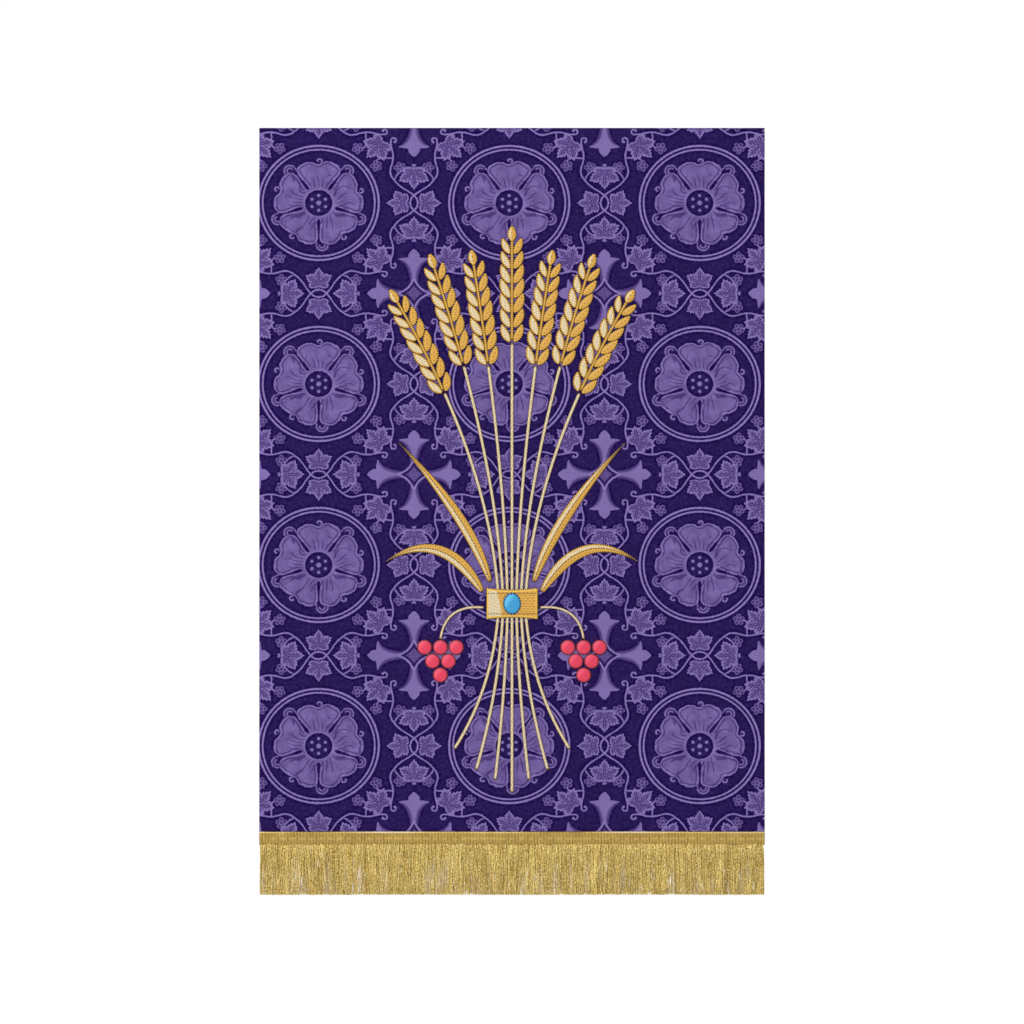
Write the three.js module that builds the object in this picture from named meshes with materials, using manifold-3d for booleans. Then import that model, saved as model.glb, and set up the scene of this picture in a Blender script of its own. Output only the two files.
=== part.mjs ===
// A pulpit fall: a hanging of purple figured brocade, embroidered with a sheaf of wheat and grapes,
// with a gold fringe sewn along its hem.
// Millimetres, +Z up. The origin is the middle of the top edge, and the cloth's face looks along -Y.
import * as THREE from 'three';
import { mergeVertices } from 'three/addons/utils/BufferGeometryUtils.js';
import Module from 'manifold-3d';

const wasm = await Module();
wasm.setup();

// Driving dimensions of the cloth
const CLOTH_WIDTH = 508;
const CLOTH_DROP = 720;
const CLOTH_THICKNESS = 2;
const HEM_WIDTH = 24;
const TOP_HEM_WIDTH = 32;
const HEM_RISE = 1;
const HEM_SLOPE = 1.2;
const COLUMN_STEP = 12;
const ROW_STEP = 58;

// Driving dimensions of the fringe
const FRINGE_TOP = -707;
const HEADING_HEIGHT = 13.5;
const HEADING_THICKNESS = 1.8;
const FRINGE_BOTTOM = -771;
const LOCK_COUNT = 220;
const LOCK_WIDTH = 1.7;
const LOCK_DEPTH = 1.5;
const LOCK_TIP_SHARE = 0.7;
const LOCK_ROOT_SINK = 4;
const LOCK_UNEVEN = 2.2;
const LOCK_LEAN = 1.6;
const LOCK_SWAY = 0.9;

// Driving dimensions of the embroidery
const SEWN_GAP = 0.3;
const STEM_WIDTH = 3.2;
const STEM_RISE = 1.2;
const STEM_SPACING = 4.4;
const EAR_LENGTH = 118;
const EAR_HALF_WIDTH = 13.5;
const EAR_RISE = 1.8;
const GRAIN_ROWS = 7;
const LEAF_RISE = 1.2;
const TIE_Z = -478;
const TIE_HEIGHT = 32;
const TIE_HALF_LENGTH = 26;
const TIE_RISE = 1.2;
const STONE_WIDTH = 18;
const STONE_HEIGHT = 22;
const STONE_RISE = 1.5;
const STONE_LIFT = STEM_RISE + TIE_RISE + 2 * SEWN_GAP;
const BERRY_DIAMETER = 15.4;
const BERRY_RISE = 2;
const STALK_WIDTH = 2.6;
const ROUND_SEGMENTS = 12;

// Soft flutes of the hanging cloth: where each stands across the width, its half width, how far it comes
// forward (or, below zero, falls back), and the depth under the top edge where it starts to open.
const FLUTES = [
  { at: -214, halfWidth: 74, forward: 2.6, opensAt: 110 },
  { at: -112, halfWidth: 82, forward: -2.0, opensAt: 190 },
  { at: 6, halfWidth: 96, forward: 2.2, opensAt: 80 },
  { at: 118, halfWidth: 78, forward: -2.3, opensAt: 150 },
  { at: 216, halfWidth: 70, forward: 2.4, opensAt: 130 },
];
const FLUTE_RUN = 560;

// The right half of the sheaf, counted outwards from the middle stalk: the tip of its ear and its cut foot.
const STALKS = [
  { tipX: 0, tipZ: -98, footX: 0, footZ: -668 },
  { tipX: 41, tipZ: -122, footX: 17, footZ: -655 },
  { tipX: 83, tipZ: -126, footX: 36, footZ: -645 },
  { tipX: 123, tipZ: -162, footX: 58, footZ: -624 },
];
const STALK_RISE_BEND = { spread: 1.6, z: -330 };
const STALK_FOOT_BEND = { spread: 1.3, z: -560 };

// The right half's blades: root, bend and tip in the plane of the cloth, and the half width at the widest.
const LEAVES = [
  { rootX: 22, rootZ: -456, bendX: 42, bendZ: -392, tipX: 114, tipZ: -316, halfWidth: 5.6 },
  { rootX: 30, rootZ: -466, bendX: 70, bendZ: -398, tipX: 127, tipZ: -436, halfWidth: 6 },
];

// The right bunch of grapes: the middle of its top row, its berries in each row, and its stalk's bend.
const BUNCH = { x: 72, z: -522, rows: [3, 2, 1], pitch: 15.9, rowDrop: 13.9 };
const BUNCH_STALK = { rootX: 27.8, rootZ: -482, bendX: 67, bendZ: -478 };

const PAINT = {
  brocade: { color: 0x4b3580, roughness: 0.75, metalness: 0 },
  fringe: { color: 0xbfa45f, roughness: 0.45, metalness: 0.6 },
  gold: { color: 0xd6a53c, roughness: 0.5, metalness: 0.1 },
  cream: { color: 0xe6d3a3, roughness: 0.55, metalness: 0 },
  red: { color: 0xdd4560, roughness: 0.5, metalness: 0 },
  blue: { color: 0x4fa6d6, roughness: 0.5, metalness: 0 },
};

const paints = Object.fromEntries(
  Object.entries(PAINT).map(([name, look]) => [name, new THREE.MeshStandardMaterial(look)]),
);

const fall = new THREE.Group();

function addPiece(name, geometry, paint) {
  const mesh = new THREE.Mesh(geometry, paints[paint]);
  mesh.name = name;
  fall.add(mesh);
}

// The hang of the cloth

// How far the middle of the cloth stands behind (+) or before (-) the plane of its top edge.
function hang(x, z) {
  return FLUTES.reduce((sum, flute) => {
    const across = Math.min(1, Math.abs(x - flute.at) / flute.halfWidth);
    const opened = THREE.MathUtils.smoothstep(-z, flute.opensAt, flute.opensAt + FLUTE_RUN);
    return sum - (flute.forward * opened * (1 + Math.cos(Math.PI * across))) / 2;
  }, 0);
}

// The Y of a point that stands `rise` in front of the cloth's face, past the sewing gap.
function overCloth(x, z, rise) {
  return hang(x, z) - CLOTH_THICKNESS / 2 - SEWN_GAP - rise;
}

// Lines from one end to the other at an even step no longer than `longest`.
function evenLines(from, to, longest) {
  const count = Math.ceil(Math.abs(to - from) / longest);
  return Array.from({ length: count + 1 }, (_, i) => THREE.MathUtils.lerp(from, to, i / count));
}

function geometryOf(points, triangles) {
  const geometry = new THREE.BufferGeometry();
  geometry.setAttribute('position', new THREE.Float32BufferAttribute(points.flat(), 3));
  geometry.setIndex(triangles);
  geometry.computeVertexNormals();
  return geometry;
}

// A closed sheet over a grid of columns (X, rising) and rows (Z, falling), between two faces given as Y.
function closedSheet(columns, rows, faceY, backY) {
  const points = [];
  for (const yOf of [faceY, backY]) {
    for (const z of rows) {
      for (const x of columns) points.push([x, yOf(x, z), z]);
    }
  }
  const layer = columns.length * rows.length;
  const at = (side, row, column) => side * layer + row * columns.length + column;
  const triangles = [];
  const quad = (a, b, c, d) => triangles.push(a, b, c, a, c, d);
  for (let r = 0; r + 1 < rows.length; r++) {
    for (let c = 0; c + 1 < columns.length; c++) {
      quad(at(0, r, c), at(0, r + 1, c), at(0, r + 1, c + 1), at(0, r, c + 1));
      quad(at(1, r, c), at(1, r, c + 1), at(1, r + 1, c + 1), at(1, r + 1, c));
    }
  }
  const lastRow = rows.length - 1;
  const lastColumn = columns.length - 1;
  for (let c = 0; c < lastColumn; c++) {
    quad(at(0, 0, c), at(0, 0, c + 1), at(1, 0, c + 1), at(1, 0, c));
    quad(at(0, lastRow, c + 1), at(0, lastRow, c), at(1, lastRow, c), at(1, lastRow, c + 1));
  }
  for (let r = 0; r < lastRow; r++) {
    quad(at(0, r + 1, 0), at(0, r, 0), at(1, r, 0), at(1, r + 1, 0));
    quad(at(0, r, lastColumn), at(0, r + 1, lastColumn), at(1, r + 1, lastColumn), at(1, r, lastColumn));
  }
  return geometryOf(points, triangles);
}

// The brocade: one cloth, its four edges turned to the back as hems
function brocadePanel() {
  const half = CLOTH_WIDTH / 2;
  const inside = half - HEM_WIDTH - HEM_SLOPE;
  const columns = [
    -half,
    -half + HEM_WIDTH,
    ...evenLines(-inside, inside, COLUMN_STEP),
    half - HEM_WIDTH,
    half,
  ];
  const rows = [
    0,
    -TOP_HEM_WIDTH,
    ...evenLines(-TOP_HEM_WIDTH - HEM_SLOPE, -CLOTH_DROP + HEM_WIDTH + HEM_SLOPE, ROW_STEP),
    -CLOTH_DROP + HEM_WIDTH,
    -CLOTH_DROP,
  ];
  const inHem = (x, z) =>
    Math.abs(x) >= half - HEM_WIDTH || z >= -TOP_HEM_WIDTH || z <= -CLOTH_DROP + HEM_WIDTH;
  const faceY = (x, z) => hang(x, z) - CLOTH_THICKNESS / 2;
  const backY = (x, z) => hang(x, z) + CLOTH_THICKNESS / 2 + (inHem(x, z) ? HEM_RISE : 0);
  return closedSheet(columns, rows, faceY, backY);
}

// The fringe: a woven heading sewn on the face over the hem, with the locks fused into it

function solidOf(geometry) {
  const bare = new THREE.BufferGeometry();
  bare.setAttribute('position', geometry.getAttribute('position').clone());
  bare.setIndex(geometry.getIndex());
  const merged = mergeVertices(bare);
  return new wasm.Manifold(
    new wasm.Mesh({
      numProp: 3,
      vertProperties: merged.getAttribute('position').array,
      triVerts: new Uint32Array(merged.getIndex().array),
    }),
  );
}

function geometryOfSolid(solid) {
  const mesh = solid.getMesh();
  const geometry = new THREE.BufferGeometry();
  geometry.setAttribute('position', new THREE.BufferAttribute(mesh.vertProperties, mesh.numProp));
  geometry.setIndex(new THREE.BufferAttribute(mesh.triVerts, 1));
  return geometry;
}

// An uneven but repeatable number from -1 to 1.
function uneven(seed) {
  const wild = Math.sin(seed * 12.9898) * 43758.5453;
  return 2 * (wild - Math.floor(wild)) - 1;
}

function fringeHeading() {
  const half = CLOTH_WIDTH / 2;
  const columns = evenLines(-half, half, COLUMN_STEP);
  const rows = [FRINGE_TOP, FRINGE_TOP - HEADING_HEIGHT];
  return closedSheet(
    columns,
    rows,
    (x, z) => overCloth(x, z, HEADING_THICKNESS),
    (x, z) => overCloth(x, z, 0),
  );
}

// One four-sided lock: it leaves the heading straight, then leans with its neighbours and thins to its tip.
function fringeLock(index) {
  const pitch = CLOTH_WIDTH / LOCK_COUNT;
  const rootX = -CLOTH_WIDTH / 2 + pitch * (index + 0.5);
  const rootZ = FRINGE_TOP - HEADING_HEIGHT + LOCK_ROOT_SINK;
  const tipZ = FRINGE_BOTTOM + LOCK_UNEVEN * (0.5 + 0.5 * uneven(index + 1));
  const clump = Math.sin(rootX / 17) + Math.sin(rootX / 7.3 + 1);
  const edgeHold = Math.min(1, (CLOTH_WIDTH / 2 - Math.abs(rootX)) / (4 * LOCK_LEAN));
  const lean = (edgeHold * LOCK_LEAN * clump) / 2;
  const rootY = overCloth(rootX, rootZ, HEADING_THICKNESS / 2);
  const tipY = rootY + LOCK_SWAY * uneven(index + 400);
  const sections = [
    { x: rootX, y: rootY, z: rootZ, share: 1 },
    { x: rootX + lean * 0.3, y: rootY, z: (rootZ + tipZ) / 2, share: 1 },
    { x: rootX + lean, y: tipY, z: tipZ, share: LOCK_TIP_SHARE },
  ];
  const points = sections.flatMap(({ x, y, z, share }) => {
    const a = (LOCK_WIDTH / 2) * share;
    const b = (LOCK_DEPTH / 2) * share;
    return [
      [x - a, y - b, z],
      [x + a, y - b, z],
      [x + a, y + b, z],
      [x - a, y + b, z],
    ];
  });
  return geometryOf(points, tubeTriangles(sections.length, 4));
}

// The triangles of a tube of `rings` like sections, each of `sides` points, closed at both ends.
// The points of a section run anticlockwise when seen from the first end.
function tubeTriangles(rings, sides) {
  const triangles = [];
  for (let r = 0; r + 1 < rings; r++) {
    for (let s = 0; s < sides; s++) {
      const a = r * sides + s;
      const b = r * sides + ((s + 1) % sides);
      triangles.push(a, a + sides, b + sides, a, b + sides, b);
    }
  }
  const last = (rings - 1) * sides;
  for (let s = 1; s + 1 < sides; s++) {
    triangles.push(0, s, s + 1, last, last + s + 1, last + s);
  }
  return triangles;
}

function goldFringe() {
  const locks = Array.from({ length: LOCK_COUNT }, (_, i) => solidOf(fringeLock(i)));
  return geometryOfSolid(wasm.Manifold.union([solidOf(fringeHeading()), ...locks]));
}

// The embroidery: each motif is a low padded ridge that follows a curve over the cloth's face

// A ridge along a plane curve (X, Z). Stations give the share of the curve's length and the half width
// there. Its flat back stands `lift` above the sewing gap and its crown `rise` above that.
function ridge(curve, stations, rise, lift = 0) {
  const points = stations.flatMap(({ along, halfWidth }) => {
    const middle = curve.getPointAt(along);
    const run = curve.getTangentAt(along);
    const side = new THREE.Vector2(-run.y, run.x);
    const profile = [
      { across: -1, height: 0 },
      { across: -0.8, height: 0.7 * rise },
      { across: 0, height: rise },
      { across: 0.8, height: 0.7 * rise },
      { across: 1, height: 0 },
    ];
    return profile.map(({ across, height }) => {
      const at = side.clone().multiplyScalar(across * halfWidth).add(middle);
      return [at.x, overCloth(at.x, at.y, lift + height), at.y];
    });
  });
  return geometryOf(points, tubeTriangles(stations.length, 5));
}

function evenStations(count, halfWidthAt) {
  return Array.from({ length: count + 1 }, (_, i) => {
    const along = i / count;
    return { along, halfWidth: halfWidthAt(along) };
  });
}

function bent(from, bend, to) {
  return new THREE.QuadraticBezierCurve(
    new THREE.Vector2(...from),
    new THREE.Vector2(...bend),
    new THREE.Vector2(...to),
  );
}

// A stalk's line from the tie up to the tip of its ear.
function stalkUp(order, side) {
  const { tipX, tipZ } = STALKS[order];
  const tieX = side * order * STEM_SPACING;
  return bent(
    [tieX, TIE_Z],
    [tieX * STALK_RISE_BEND.spread, STALK_RISE_BEND.z],
    [side * tipX, tipZ],
  );
}

// A stalk's line from its cut foot up to the tie.
function stalkFoot(order, side) {
  const { footX, footZ } = STALKS[order];
  const tieX = side * order * STEM_SPACING;
  return bent(
    [side * footX, footZ],
    [tieX * STALK_FOOT_BEND.spread, STALK_FOOT_BEND.z],
    [tieX, TIE_Z],
  );
}

// The stem runs under the tie, from the foot to the base of the ear, with one smooth line.
function stem(order, side) {
  const up = stalkUp(order, side);
  const earBase = 1 - EAR_LENGTH / up.getLength() - SEWN_GAP / up.getLength();
  const foot = stalkFoot(order, side);
  const below = foot.getSpacedPoints(8);
  const above = evenLines(0, earBase, 1 / 12).slice(1).map((along) => up.getPointAt(along));
  const line = new THREE.SplineCurve([...below, ...above]);
  return ridge(line, evenStations(20, () => STEM_WIDTH / 2), STEM_RISE);
}

// The ear: pairs of grains up a spine, each swelling to a shoulder and stepping in under the next.
function ear(order, side) {
  const up = stalkUp(order, side);
  const base = 1 - EAR_LENGTH / up.getLength();
  const steps = [
    { part: 0, width: 0.42 },
    { part: 0.5, width: 0.88 },
    { part: 0.92, width: 1 },
  ];
  const rows = GRAIN_ROWS + 1;
  const stations = [];
  for (let row = 0; row < GRAIN_ROWS; row++) {
    const swell = Math.sin(Math.PI * THREE.MathUtils.lerp(0.26, 0.8, row / (GRAIN_ROWS - 1)));
    for (const { part, width } of steps) {
      const along = THREE.MathUtils.lerp(base, 1, (row + part) / rows);
      stations.push({ along, halfWidth: EAR_HALF_WIDTH * swell * width });
    }
  }
  const tipGrain = [
    { part: 0, halfWidth: 3.2 },
    { part: 0.4, halfWidth: 4 },
    { part: 1, halfWidth: 0.5 },
  ];
  for (const { part, halfWidth } of tipGrain) {
    stations.push({ along: THREE.MathUtils.lerp(base, 1, (GRAIN_ROWS + part) / rows), halfWidth });
  }
  return ridge(up, stations, EAR_RISE);
}

// A blade: narrow at its root, full at a third of its length, drawn out to a point.
function leaf({ rootX, rootZ, bendX, bendZ, tipX, tipZ, halfWidth }, side) {
  const line = bent([side * rootX, rootZ], [side * bendX, bendZ], [side * tipX, tipZ]);
  const blade = (along) => Math.max(0.5, halfWidth * Math.sin(Math.PI * Math.pow(along * 0.94 + 0.05, 0.7)));
  return ridge(line, evenStations(12, blade), LEAF_RISE);
}

function tieBand() {
  const line = new THREE.LineCurve(
    new THREE.Vector2(-TIE_HALF_LENGTH, TIE_Z),
    new THREE.Vector2(TIE_HALF_LENGTH, TIE_Z),
  );
  const drawnIn = (along) => (TIE_HEIGHT / 2) * (0.88 + 0.12 * Math.pow(2 * along - 1, 2));
  return ridge(line, evenStations(6, drawnIn), TIE_RISE, STEM_RISE + SEWN_GAP);
}

// A round or oval padded boss that follows the hang of the cloth behind it.
function boss(x, z, width, height, rise, lift = 0) {
  const profile = [
    [0, 0],
    [1, 0],
    [0.82, 0.6],
    [0.42, 0.92],
    [0, 1],
  ].map(([out, up]) => new THREE.Vector2((out * width) / 2, up * rise));
  const dome = new THREE.LatheGeometry(profile, ROUND_SEGMENTS);
  dome.rotateX(Math.PI);
  dome.scale(1, 1, height / width);
  dome.translate(x, 0, z);
  const points = dome.getAttribute('position');
  for (let i = 0; i < points.count; i++) {
    points.setY(i, overCloth(points.getX(i), points.getZ(i), lift - points.getY(i)));
  }
  return dome;
}

function berryPlaces(side) {
  return BUNCH.rows.flatMap((count, row) =>
    Array.from({ length: count }, (_, i) => ({
      x: side * (BUNCH.x + (i - (count - 1) / 2) * BUNCH.pitch),
      z: BUNCH.z - row * BUNCH.rowDrop,
    })),
  );
}

function bunchStalk(side) {
  const { rootX, rootZ, bendX, bendZ } = BUNCH_STALK;
  const foot = BUNCH.z + BERRY_DIAMETER / 2 + SEWN_GAP;
  const line = bent([side * rootX, rootZ], [side * bendX, bendZ], [side * BUNCH.x, foot]);
  return ridge(line, evenStations(8, () => STALK_WIDTH / 2), STEM_RISE);
}

// The whole fall

const SIDES = { left: -1, right: 1 };

addPiece('brocade_panel', brocadePanel(), 'brocade');
addPiece('gold_fringe', goldFringe(), 'fringe');
addPiece('tie_band', tieBand(), 'gold');
addPiece('blue_stone', boss(0, TIE_Z, STONE_WIDTH, STONE_HEIGHT, STONE_RISE, STONE_LIFT), 'blue');
addPiece('stem_middle', stem(0, 1), 'cream');
addPiece('ear_middle', ear(0, 1), 'gold');

for (const [sideName, side] of Object.entries(SIDES)) {
  for (let order = 1; order < STALKS.length; order++) {
    addPiece(`stem_${sideName}_${order}`, stem(order, side), 'cream');
    addPiece(`ear_${sideName}_${order}`, ear(order, side), 'gold');
  }
  LEAVES.forEach((blade, i) => addPiece(`leaf_${sideName}_${i + 1}`, leaf(blade, side), 'gold'));
  addPiece(`bunch_stalk_${sideName}`, bunchStalk(side), 'cream');
  berryPlaces(side).forEach(({ x, z }, i) => {
    addPiece(`grape_${sideName}_${i + 1}`, boss(x, z, BERRY_DIAMETER, BERRY_DIAMETER, BERRY_RISE), 'red');
  });
}

export default fall;
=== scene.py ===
import bmesh
import bpy
import math
import random
from bisect import bisect_left
from collections import namedtuple
from functools import reduce
from mathutils import Matrix, Vector
from mathutils.geometry import interpolate_bezier


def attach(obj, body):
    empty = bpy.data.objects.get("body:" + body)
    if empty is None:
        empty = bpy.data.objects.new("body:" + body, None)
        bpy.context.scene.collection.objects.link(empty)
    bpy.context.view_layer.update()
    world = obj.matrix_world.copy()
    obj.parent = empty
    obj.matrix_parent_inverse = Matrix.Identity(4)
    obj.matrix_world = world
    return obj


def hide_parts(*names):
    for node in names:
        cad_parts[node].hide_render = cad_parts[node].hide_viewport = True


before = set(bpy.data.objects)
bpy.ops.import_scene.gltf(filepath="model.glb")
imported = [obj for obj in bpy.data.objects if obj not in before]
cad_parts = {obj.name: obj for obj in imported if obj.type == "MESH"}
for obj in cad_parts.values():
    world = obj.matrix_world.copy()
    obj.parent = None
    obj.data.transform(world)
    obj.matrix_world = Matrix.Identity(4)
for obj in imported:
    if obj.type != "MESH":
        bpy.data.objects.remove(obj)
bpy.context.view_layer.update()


# The cloth: one width of purple figured brocade, stiff enough to hang almost flat, with all four edges
# turned to the back as hems and sewn down by hand. It is held by its top edge and opens into a few soft
# flutes lower down.

CLOTH_WIDTH = 0.508
CLOTH_DROP = 0.720
CLOTH_THICKNESS = 0.002
HEM_WIDTH = 0.024
TOP_HEM_WIDTH = 0.032
HEM_RISE = 0.001
HEM_SLOPE = 0.0012
EDGE_BEVEL = 0.0006
EDGE_ZONE = 0.0007
FLUTES = [
    # across, half width, forward, depth where it opens
    (-0.214, 0.074, 0.0026, 0.110),
    (-0.112, 0.082, -0.0020, 0.190),
    (0.006, 0.096, 0.0022, 0.080),
    (0.118, 0.078, -0.0023, 0.150),
    (0.216, 0.070, 0.0024, 0.130),
]
FLUTE_RUN = 0.560


def smooth(share):
    """A share that starts and ends gently."""
    share = min(1.0, max(0.0, share))
    return share * share * (3 - 2 * share)


def hang(x, z):
    """How far the middle of the cloth stands behind the plane of its top edge."""
    behind = 0.0
    for at, half_width, forward, opens_at in FLUTES:
        across = min(1.0, abs(x - at) / half_width)
        opened = smooth((-z - opens_at) / FLUTE_RUN)
        behind -= forward * opened * (1 + math.cos(math.pi * across)) / 2
    return behind


def new_piece(name, bm, materials):
    """A finished piece: smooth faces, its place in its mesh, riding on the one body."""
    mesh = bpy.data.meshes.new(name)
    for face in bm.faces:
        face.smooth = True
    bm.to_mesh(mesh)
    bm.free()
    for material in materials:
        mesh.materials.append(material)
    piece = bpy.data.objects.new(name, mesh)
    bpy.context.scene.collection.objects.link(piece)
    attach(piece, "root")
    return piece


def colour(code):
    """A colour as a dyer's card gives it, as the light that it sends back."""
    parts = [(code >> shift & 255) / 255 for shift in (16, 8, 0)]
    return (*[p / 12.92 if p <= 0.04045 else ((p + 0.055) / 1.055) ** 2.4 for p in parts], 1.0)


def new_material(name):
    material = bpy.data.materials.new(name)
    material.use_nodes = True
    tree = material.node_tree
    return material, tree, tree.nodes["Principled BSDF"]


class Reading:
    """A number at each point of a surface, so that a pattern can be written as arithmetic."""

    def __init__(self, socket):
        self.socket = socket

    def __add__(self, other):
        return reckon("ADD", self, other)

    def __sub__(self, other):
        return reckon("SUBTRACT", self, other)

    def __rsub__(self, other):
        return reckon("SUBTRACT", other, self)

    def __mul__(self, other):
        return reckon("MULTIPLY", self, other)

    def __truediv__(self, other):
        return reckon("DIVIDE", self, other)

    def __abs__(self):
        return reckon("ABSOLUTE", self)

    __radd__ = __add__
    __rmul__ = __mul__


def feed(tree, socket, value):
    if isinstance(value, Reading):
        tree.links.new(value.socket, socket)
    else:
        socket.default_value = value


def reckon(operation, *values, clamp=False):
    tree = next(v.socket.id_data for v in values if isinstance(v, Reading))
    node = tree.nodes.new("ShaderNodeMath")
    node.operation = operation
    node.use_clamp = clamp
    for socket, value in zip(node.inputs, values):
        feed(tree, socket, value)
    return Reading(node.outputs[0])


def least(*values):
    return reduce(lambda a, b: reckon("MINIMUM", a, b), values)


def most(*values):
    return reduce(lambda a, b: reckon("MAXIMUM", a, b), values)


def together(a, b, c=0.0):
    """Three numbers as one point."""
    tree = next(v.socket.id_data for v in (a, b, c) if isinstance(v, Reading))
    node = tree.nodes.new("ShaderNodeCombineXYZ")
    for socket, value in zip(node.inputs, (a, b, c)):
        feed(tree, socket, value)
    return node.outputs[0]


def apart(socket):
    node = socket.id_data.nodes.new("ShaderNodeSeparateXYZ")
    socket.id_data.links.new(socket, node.inputs[0])
    return [Reading(out) for out in node.outputs]


def reach(a, b):
    """How far a point is from the start of its two measures."""
    point = together(a, b)
    node = point.id_data.nodes.new("ShaderNodeVectorMath")
    node.operation = "LENGTH"
    point.id_data.links.new(point, node.inputs[0])
    return Reading(node.outputs["Value"])


def choose(when, otherwise, then):
    tree = when.socket.id_data
    node = tree.nodes.new("ShaderNodeMix")
    feed(tree, node.inputs["Factor"], when)
    feed(tree, node.inputs["A"], otherwise)
    feed(tree, node.inputs["B"], then)
    return Reading(node.outputs["Result"])


def profile(value, points, handles="VECTOR"):
    """A drawn outline: the height at each measure, by a curve through the points."""
    tree = value.socket.id_data
    span = points[-1][0]
    lowest = min(height for _, height in points)
    rise = max(height for _, height in points) - lowest
    node = tree.nodes.new("ShaderNodeFloatCurve")
    curve = node.mapping.curves[0]
    while len(curve.points) < len(points):
        curve.points.new(0.5, 0.5)
    for knot, (at, height) in zip(curve.points, points):
        knot.location = (at / span, (height - lowest) / rise)
        knot.handle_type = handles
    node.mapping.update()
    feed(tree, node.inputs["Value"], value / span)
    return Reading(node.outputs["Value"]) * rise + lowest


def within(distance, soft=0.4):
    """One inside an outline and nothing outside it, with an edge as soft as a woven one."""
    return reckon("MULTIPLY_ADD", distance, -0.5 / soft, 0.5, clamp=True)


def stroke(distance, half_width):
    return within(abs(distance) - half_width)


def noise(point, scale, detail=2.0):
    node = point.id_data.nodes.new("ShaderNodeTexNoise")
    point.id_data.links.new(point, node.inputs["Vector"])
    node.inputs["Scale"].default_value = scale
    node.inputs["Detail"].default_value = detail
    return Reading(node.outputs["Fac"])


def each(value, pitch):
    """How far a point is past the nearest of a row of lines, either way."""
    return reckon("WRAP", value, pitch / 2, -pitch / 2)


def scaled(vector, amount):
    """A point or a colour, times a number."""
    tree = amount.socket.id_data if isinstance(amount, Reading) else vector.id_data
    node = tree.nodes.new("ShaderNodeVectorMath")
    node.operation = "SCALE"
    if isinstance(vector, tuple):
        node.inputs[0].default_value = vector
    else:
        tree.links.new(vector, node.inputs[0])
    feed(tree, node.inputs["Scale"], amount)
    return node.outputs[0]


def raise_threads(shader, height, strength):
    """Fine relief on a surface, its height in millimetres."""
    tree = shader.id_data
    bump = tree.nodes.new("ShaderNodeBump")
    bump.inputs["Strength"].default_value = strength
    bump.inputs["Distance"].default_value = 0.001
    feed(tree, bump.inputs["Height"], height)
    tree.links.new(bump.outputs["Normal"], shader.inputs["Normal"])


# The woven figure, in millimetres on the cloth: roundels with an open rose, and between them crosses with
# budded arms and sprays of vine. A quarter of the repeat is drawn, and folding gives the rest.
REPEAT_X, REPEAT_Z = 191.45, 181.9
ROUNDEL_X, ROUNDEL_Z = -2.8, -75.4
REPEAT = 186.6
STRAY = 1.1
INNER_RING, OUTER_RING = 54.9, 58.8
PETALS, SEEDS = 5, 6
BOSS = 13.4
PETAL_GAP = [
    # out from the heart, half width of the gap between two petals
    (0, -2), (15, -2), (16.6, 0.7), (19, 1.8), (23, 1.65), (29, 1.05), (34, 0.75), (37, 1.0), (39.4, 1.9),
    (41, 3.6), (42.4, 6.4), (43.6, 10), (60, 20),
]
PETAL_CROWN = [
    # turn from the petal's middle, reach of its rim
    (0, 39.8), (0.06, 40.7), (0.2, 43.4), (0.36, 44.0), (0.5, 42.8), (0.63, 41.4),
]
CROSS_ARM = [
    # out from the cross's middle, half width of the arm
    (0, -4), (11.6, -4), (12.6, 4.0), (17, 4.2), (20.5, 5.0), (26, 6.7), (30, 9.0), (32.4, 11.4),
    (33.6, 13.4), (34.6, 15.0), (35.6, 15.3), (36.3, 13.4), (36.8, 9), (37.3, 5.5), (38.9, 5.8),
    (41.2, 5.0), (43.4, 3.2), (45, 1.5), (46.2, -0.6), (60, -4),
]
CROSS_RIDGE = [
    # out from the cross's middle, half width of the light ridge
    (0, -1), (12, 0.9), (17, 1.7), (20.5, 2.3), (26, 3.8), (30.5, 6.4), (33.8, 10.4), (35.8, 16), (60, 16),
]
VINE = [
    # out from the knot, how far the strand lies from the line between knots
    (0, -3.7), (3, -3.3), (5.6, -1.9), (8, 0.4), (12, 5.6), (16, 11.8), (20, 16.4), (24, 19.6),
    (28, 22.2), (32, 23.2), (36, 22.8), (41, 21.3), (46, 20.5), (51, 20.7), (56, 21.8), (61, 22.7),
    (64.4, 22.6), (94, 22.6),
]
VINE_END = 64.4
VINE_SLANT = [
    # out from the knot, how much wider the slant of the strand makes it
    (0, 1.0), (3, 1.1), (6, 1.4), (9, 1.6), (12, 1.75), (16, 1.6), (20, 1.35), (25, 1.22), (31, 1.06),
    (40, 1.02), (94, 1),
]
VINE_BERRY = 1.75
LEAF_LOBES = [
    # half turns from the leaf's tip, reach of its edge
    (0, 14.8), (0.035, 12.2), (0.055, 12.8), (0.09, 10.4), (0.115, 11.2), (0.155, 8.6), (0.195, 11.0),
    (0.215, 10.4), (0.25, 12.4), (0.28, 11.8), (0.335, 14.4), (0.365, 12.0), (0.39, 12.5), (0.42, 10.2),
    (0.445, 10.8), (0.49, 7.8), (0.53, 9.8), (0.55, 9.2), (0.63, 9.8), (0.66, 8.2), (0.69, 8.4),
    (0.74, 6.6), (0.80, 5.8), (0.90, 3.6), (1, 3.2),
]
LEAF_RIBS = [
    # half turns from the leaf's tip, half turns from the nearest rib
    (0, 0), (0.167, 0.167), (0.335, 0), (0.482, 0.148), (0.63, 0), (0.815, 0.185), (1, 0.37),
]


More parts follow.
